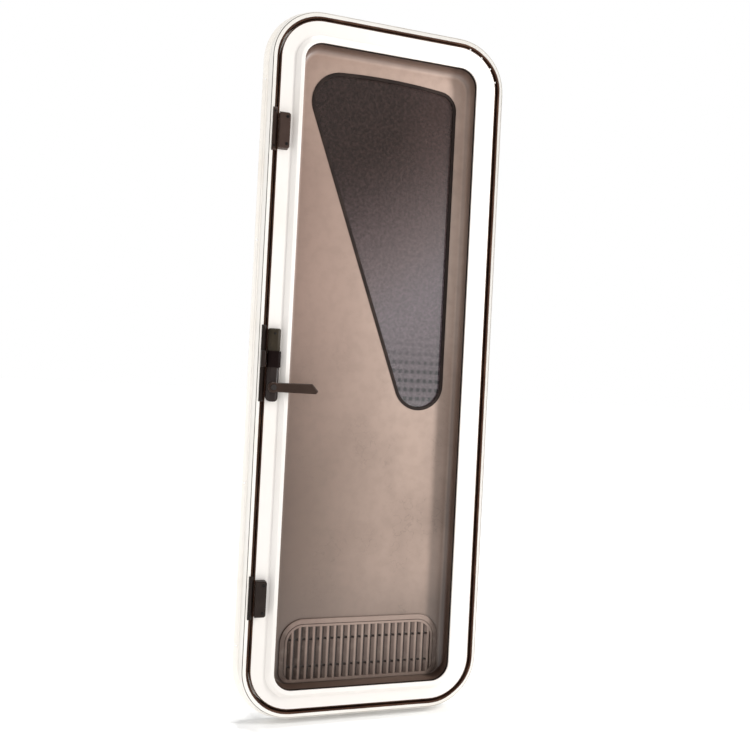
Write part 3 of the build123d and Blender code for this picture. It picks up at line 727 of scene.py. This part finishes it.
def make_seam_bulb():
    """Soft uneven bulb on the jamb's rubber, sitting over the jamb's edge except at the lock side."""
    dice = random.Random(BULB_SEED)
    path = ring_path(BULB_INSET, BULB_STEP)
    points = []
    drift = 0.0
    for x, z, out_x, out_z in path:
        drift = BULB_DRIFT_KEPT * drift + dice.uniform(-BULB_DRIFT, BULB_DRIFT)
        over = max(BULB_OVER_HINGE_SIDE * out_x, -BULB_OVER_SILL * out_z, BULB_OVER_HEAD * out_z, 0.0)
        radius = BULB_RADIUS + BULB_WOBBLE * drift + BULB_SWELL * over
        for side in range(BULB_SIDES):
            angle = 2 * math.pi * side / BULB_SIDES
            reach = BULB_SHIFT * over + radius * math.cos(angle)
            y = JAMB_FACE + BULB_DEPTH - BULB_RISE * over + radius * math.sin(angle)
            points.append((x + out_x * reach, y, z + out_z * reach))
    faces = []
    for index in range(len(path)):
        here = index * BULB_SIDES
        following = (index + 1) % len(path) * BULB_SIDES
        for side in range(BULB_SIDES):
            turn = (side + 1) % BULB_SIDES
            faces.append((here + side, here + turn, following + turn, following + side))
    mesh = mesh_from("seam_bulb", points, faces, smooth=True)
    add_piece("seam_bulb", mesh, slot_finishes["seal_rubber"], "frame")


def make_seal_clips():
    """Small rounded clips, each with a raised rib along its middle."""
    joined = bmesh.new()
    corner = Matrix.Translation((CORNER_X, 0, DOOR_CENTRE + CORNER_Z))
    clip_and_rib = ((CLIP_REACH, CLIP_WIDTH, CLIP_FRONT + CLIP_ROUND),
                    (CLIP_REACH - CLIP_ROUND, CLIP_RIB_WIDTH, CLIP_FRONT))
    for angle in CLIP_ANGLES:
        turn = Matrix.Rotation(math.radians(angle), 4, (0, -1, 0))
        for reach, width, front in clip_and_rib:
            middle = Matrix.Translation((CLIP_ROOT + reach / 2, front + CLIP_DEPTH / 2, 0))
            size = Matrix.Diagonal((reach, CLIP_DEPTH, width, 1.0))
            made = bmesh.ops.create_cube(joined, size=1.0, matrix=corner @ turn @ middle @ size)
            edges = {edge for vertex in made["verts"] for edge in vertex.link_edges}
            bmesh.ops.bevel(joined, geom=list(edges), offset=CLIP_ROUND, segments=2, affect="EDGES")
    mesh = mesh_of("seal_clips", joined)
    add_piece("seal_clips", mesh, slot_finishes["white_moulding"], "leaf")


def front_outline(node):
    """Outline of a flat node seen from indoors, as pairs of (x, z) for each edge."""
    shape = bmesh.new()
    shape.from_mesh(nodes[node].data)
    bmesh.ops.remove_doubles(shape, verts=shape.verts, dist=OUTLINE_WELD)
    shape.normal_update()
    front = [face for face in shape.faces if face.normal.y < FACING_INDOORS]
    edges = [edge for edge in shape.edges if sum(face in front for face in edge.link_faces) == 1]
    lines = [[(vertex.co.x, vertex.co.z) for vertex in edge.verts] for edge in edges]
    shape.free()
    return lines


def crossings(lines, axis, level):
    """Where a straight wire at this level enters and leaves the outline."""
    other = 1 - axis
    hits = []
    for start, end in lines:
        low, high = sorted((start[axis], end[axis]))
        if low <= level < high:
            share = (level - start[axis]) / (end[axis] - start[axis])
            hits.append(start[other] + share * (end[other] - start[other]))
    return sorted(hits)


def make_insect_mesh():
    """Woven wires, each cut to the window's outline."""
    lines = front_outline("window_mesh")
    low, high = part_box("window_mesh")
    middle_y = (low[1] + high[1]) / 2
    points = []
    faces = []
    for axis in (0, 1):
        start, end = (low[0], high[0]) if axis == 0 else (low[2], high[2])
        depth = middle_y + (WEAVE_OFFSET if axis else -WEAVE_OFFSET)
        count = int((end - start) / WIRE_PITCH)
        for index in range(1, count):
            level = start + index * WIRE_PITCH
            hits = crossings(lines, axis, level)
            for first, last in zip(hits[0::2], hits[1::2]):
                base = len(points)
                for reach in (first, last):
                    for side, lift in WIRE_CORNERS:
                        across = level + side * WIRE_RADIUS
                        y = depth + lift * WIRE_RADIUS
                        points.append((across, y, reach) if axis == 0 else (reach, y, across))
                for side in range(4):
                    turn = (side + 1) % 4
                    faces.append((base + side, base + turn, base + 4 + turn, base + 4 + side))
    mesh = mesh_from("insect_mesh", points, faces)
    wires = add_piece("insect_mesh", mesh, slot_finishes["insect_mesh"], "leaf")
    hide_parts("window_mesh")


# Screws


def screw_head(radius):
    """Pan head with a cross recess, its seat at the origin and its top along +Z."""
    head = bmesh.new()
    rise = HEAD_RISE * radius
    arm = CROSS_ARM * radius
    half = CROSS_HALF_WIDTH * radius
    cross = [(half, arm), (-half, arm), (-half, half), (-arm, half), (-arm, -half), (-half, -half),
             (-half, -arm), (half, -arm), (half, -half), (arm, -half), (arm, half), (half, half)]
    angles = [2 * math.pi * side / HEAD_SIDES for side in range(HEAD_SIDES)]
    loops = []
    for share, lift in HEAD_RINGS:
        ring = radius * share
        loops.append([head.verts.new((ring * math.cos(a), ring * math.sin(a), rise * lift)) for a in angles])
    for lower, upper in zip(loops, loops[1:]):
        for side in range(HEAD_SIDES):
            turn = (side + 1) % HEAD_SIDES
            head.faces.new((lower[side], lower[turn], upper[turn], upper[side]))
    rim = [head.verts.new((x, y, rise)) for x, y in cross]
    floor = [head.verts.new((CROSS_TAPER * x, CROSS_TAPER * y, CROSS_FLOOR * rise)) for x, y in cross]
    top = loops[-1]
    top_edges = [head.edges.get((top[side], top[(side + 1) % HEAD_SIDES])) for side in range(HEAD_SIDES)]
    top_edges += [head.edges.new((rim[side], rim[(side + 1) % len(cross)])) for side in range(len(cross))]
    bmesh.ops.triangle_fill(head, use_beauty=True, use_dissolve=False, edges=top_edges)
    for side in range(len(cross)):
        turn = (side + 1) % len(cross)
        head.faces.new((rim[side], rim[turn], floor[turn], floor[side]))
    head.faces.new(floor)
    bmesh.ops.recalc_face_normals(head, faces=head.faces)
    return head


def make_screws(name, body, material, radius, seats):
    """Several screws as one piece; each seat is a place and the direction its head points to."""
    joined = bmesh.new()
    dice = random.Random(len(name))
    for place, facing in seats:
        head = screw_head(radius)
        turn = Vector(facing).to_track_quat("Z", "Y").to_matrix().to_4x4()
        spin = Matrix.Rotation(dice.uniform(0, math.pi / 2), 4, "Z")
        head.transform(Matrix.Translation(place) @ turn @ spin)
        mesh = mesh_of("head", head)
        joined.from_mesh(mesh)
        bpy.data.meshes.remove(mesh)
    add_piece(name, mesh_of(name, joined), material, body)


def seats_on(node, spots, facing):
    """Seats on a node's front or back face; spots are shares of its width and height."""
    low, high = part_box(node)
    y = low[1] if facing == INDOORS else high[1]
    return [((low[0] + u * (high[0] - low[0]), y, low[2] + v * (high[2] - low[2])), facing)
            for u, v in spots]


def make_all_screws():
    """Screws of the latches, keepers and lock indoors, and of the hinges and handle outdoors."""
    latch = []
    keeper = []
    for place in ("upper", "lower"):
        latch += seats_on(place + "_latch_case", LATCH_SPOTS, INDOORS)
        keeper += seats_on(place + "_keeper", KEEPER_SPOTS, INDOORS)
    lock = seats_on("lock_case", LOCK_SPOTS, INDOORS)
    handle = seats_on("outer_handle_plate", HANDLE_SPOTS, OUTDOORS)
    hinge = []
    for flap in HINGE_FLAPS:
        low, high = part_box(flap)
        for share in HINGE_HEIGHTS:
            height = low[2] + share * (high[2] - low[2])
            hinge.append(((low[0] + HINGE_SCREW_INSET, low[1] + HINGE_PLATE, height), OUTDOORS))
    make_screws("latch_screws", "leaf", screw_black, LATCH_SCREW, latch)
    make_screws("keeper_screws", "frame", screw_black, KEEPER_SCREW, keeper)
    make_screws("lock_screws", "leaf", screw_black, LOCK_SCREW, lock)
    make_screws("hinge_screws", "leaf", screw_steel, HINGE_SCREW, hinge)
    make_screws("handle_screws", "leaf", screw_steel, HANDLE_SCREW, handle)


make_seam_bulb()
make_seal_clips()
make_insect_mesh()
make_all_screws()

for name in SHEET_EDGED:
    soften(name, SOFT_SHEET)
for name in CASE_EDGED:
    soften(name, SOFT_CASE)


# Floor, light and camera


def make_floor():
    """Pale floor with a faint glow, so that the shadow on it stays light."""
    finish = Finish("pale_floor")
    material = finish.wear({
        "Base Color": finish.mix(finish.noise(1.5, 2.0), FLOOR_COLOUR, FLOOR_CLOUD),
        "Roughness": 0.9,
        "Specular IOR Level": 0.0,
        "Emission Color": WHITE,
        "Emission Strength": FLOOR_GLOW,
    })
    level = cad_box[0][2] - FLOOR_GAP
    corners = [(x * FLOOR_REACH, y * FLOOR_REACH, level) for x, y in ((-1, -1), (1, -1), (1, 1), (-1, 1))]
    mesh = mesh_from("floor", corners, [(0, 1, 2, 3)])
    mesh.materials.append(material)
    floor = bpy.data.objects.new("floor", mesh)
    bpy.context.scene.collection.objects.link(floor)


def add_softbox(name, place, size, power, target):
    """A soft rectangular light, aimed at a point and out of the camera's sight."""
    light = bpy.data.lights.new(name, "AREA")
    light.shape = "RECTANGLE"
    light.size, light.size_y = size
    light.energy = power
    lamp = bpy.data.objects.new(name, light)
    lamp.location = place
    lamp.rotation_euler = (Vector(target) - Vector(place)).to_track_quat("-Z", "Y").to_euler()
    lamp.visible_camera = False
    bpy.context.scene.collection.objects.link(lamp)
    return lamp


def light_list(name, pieces, state):
    """A light's list of pieces, which it is kept to or kept off, as by cards on stands."""
    chosen = bpy.data.collections.new(name)
    for piece in pieces:
        chosen.objects.link(bpy.data.objects[piece])
    for entry in chosen.collection_objects:
        entry.light_linking.link_state = state
    return chosen


def make_lights():
    """Key light from the hinge side, two for the white frames, one from behind and one from above."""
    key = add_softbox("key_light", KEY_PLACE, KEY_SIZE, KEY_POWER, KEY_TARGET)
    key.light_linking.receiver_collection = light_list("key_spares", KEY_SPARES, "EXCLUDE")
    side = add_softbox("side_light", SIDE_PLACE, SIDE_SIZE, SIDE_POWER, SIDE_TARGET)
    side.light_linking.receiver_collection = light_list("side_lit", ["leaf_frame"], "INCLUDE")
    side.light_linking.blocker_collection = light_list("side_passes", SIDE_PASSES, "EXCLUDE")
    fill = add_softbox("jamb_fill", JAMB_FILL_PLACE, JAMB_FILL_SIZE, JAMB_FILL_POWER, DOOR_MIDDLE)
    fill.light_linking.receiver_collection = light_list("fill_lit", ["jamb_frame"], "INCLUDE")
    add_softbox("back_light", BACK_PLACE, BACK_SIZE, BACK_POWER, DOOR_MIDDLE)
    light = bpy.data.lights.new("top_light", "SUN")
    light.energy = TOP_SUN
    light.angle = math.radians(TOP_SUN_SPREAD)
    bpy.context.scene.collection.objects.link(bpy.data.objects.new("top_light", light))


def make_room():
    """White background for the camera, and a weaker even fill for the part."""
    world = bpy.data.worlds.new("room")
    bpy.context.scene.world = world
    world.use_nodes = True
    wiring = Wiring(world.node_tree)
    seen = wiring.node("ShaderNodeLightPath", out="Is Camera Ray")
    level = wiring.node("ShaderNodeMapRange", None, {0: seen, 3: ROOM_FILL, 4: BACKGROUND})
    light = wiring.node("ShaderNodeBackground", None, {"Color": WHITE, "Strength": level})
    wiring.node("ShaderNodeOutputWorld", None, {"Surface": light})
    bpy.context.scene.view_settings.view_transform = "Standard"


def make_camera():
    """Camera at the photograph's viewpoint, without shift or blur."""
    camera = bpy.data.cameras.new("photo_camera")
    camera.lens = CAMERA_LENS
    holder = bpy.data.objects.new("photo_camera", camera)
    holder.location = CAMERA_PLACE
    holder.rotation_euler = [math.radians(turn) for turn in CAMERA_TURN]
    bpy.context.scene.collection.objects.link(holder)
    bpy.context.scene.camera = holder


make_floor()
make_lights()
make_room()
make_camera()
